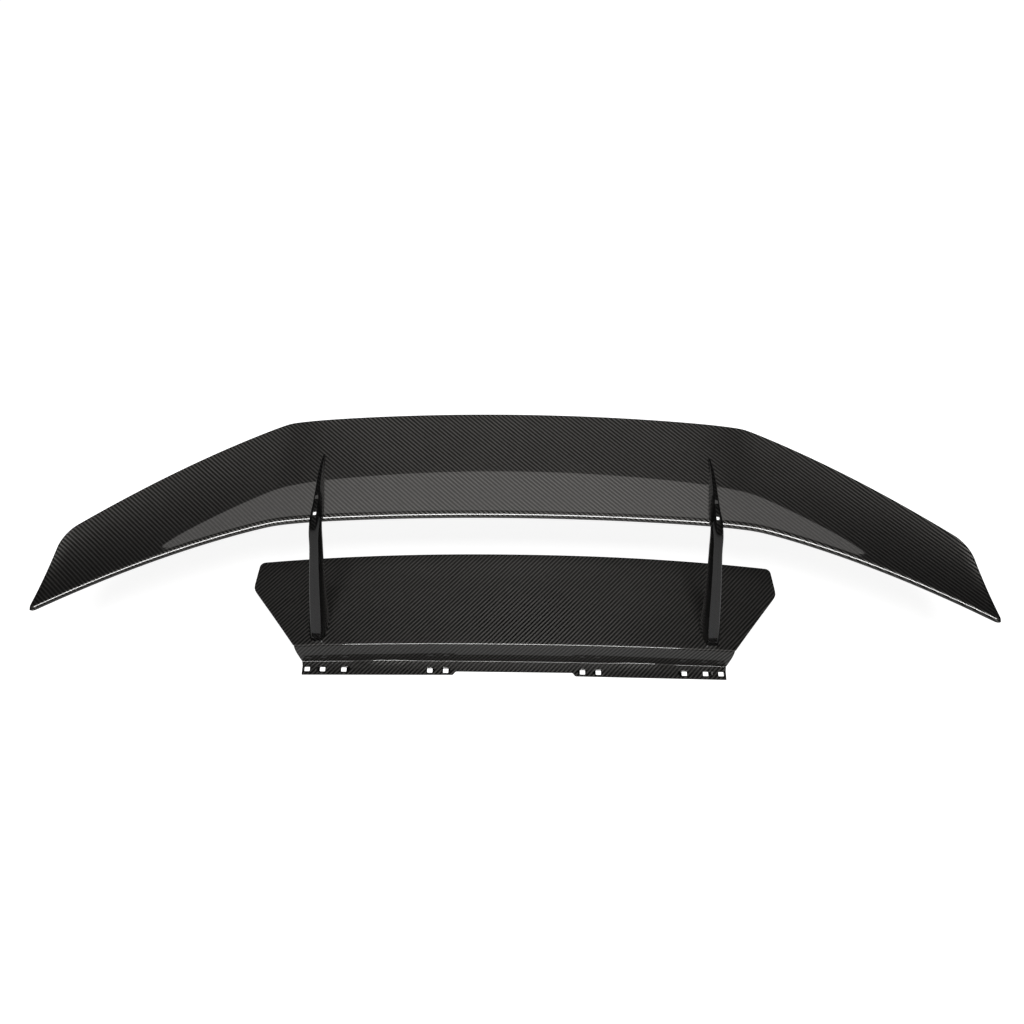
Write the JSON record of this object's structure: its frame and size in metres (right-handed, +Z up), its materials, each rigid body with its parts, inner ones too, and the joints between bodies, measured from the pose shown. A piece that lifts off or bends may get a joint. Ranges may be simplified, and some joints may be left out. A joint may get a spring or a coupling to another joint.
{
  "type": "racing rear wing",
  "caption": "Carbon-fibre rear wing with forward-swept tips on two swan-neck struts and a flanged deck base.",
  "frame": {"origin": "middle of the base's flat seat, on the surface that the wing stands on", "axes": "+X along the span towards the right side, +Y towards the rear of the car, +Z up"},
  "size_m": [1.482, 0.3858, 0.329],
  "materials": {
    "blade_carbon": "clear-coated twill carbon fibre",
    "strut_carbon": "clear-coated carbon fibre",
    "base_carbon": "clear-coated twill carbon fibre",
    "inner_carbon": "uncoated carbon fibre laminate",
    "aluminium": "machined",
    "fastener_steel": "zinc plated"
  },
  "bodies": {
    "root": {"backing_plate_left": "aluminium", "backing_plate_right": "aluminium", "base_cross_beam": "inner_carbon", "base_deck": "base_carbon", "base_under_tray": "inner_carbon", "blade_bolt_left_1": "fastener_steel", "blade_bolt_left_2": "fastener_steel", "blade_bolt_right_1": "fastener_steel", "blade_bolt_right_2": "fastener_steel", "blade_insert_left": "aluminium", "blade_insert_right": "aluminium", "blade_lower_skin": "blade_carbon", "blade_main_spar": "inner_carbon", "blade_mount_rib_left_inner": "inner_carbon", "blade_mount_rib_left_outer": "inner_carbon", "blade_mount_rib_right_inner": "inner_carbon", "blade_mount_rib_right_outer": "inner_carbon", "blade_rear_spar": "inner_carbon", "blade_tip_rib_left": "inner_carbon", "blade_tip_rib_right": "inner_carbon", "blade_upper_skin": "blade_carbon", "foot_bolt_left_1": "fastener_steel", "foot_bolt_left_2": "fastener_steel", "foot_bolt_right_1": "fastener_steel", "foot_bolt_right_2": "fastener_steel", "foot_washer_left_1": "fastener_steel", "foot_washer_left_2": "fastener_steel", "foot_washer_right_1": "fastener_steel", "foot_washer_right_2": "fastener_steel", "strut_core_left": "aluminium", "strut_core_right": "aluminium", "strut_foot_block_left": "aluminium", "strut_foot_block_right": "aluminium", "strut_inner_shell_left": "strut_carbon", "strut_inner_shell_right": "strut_carbon", "strut_outer_shell_left": "strut_carbon", "strut_outer_shell_right": "strut_carbon"}
  },
  "joints": []
}
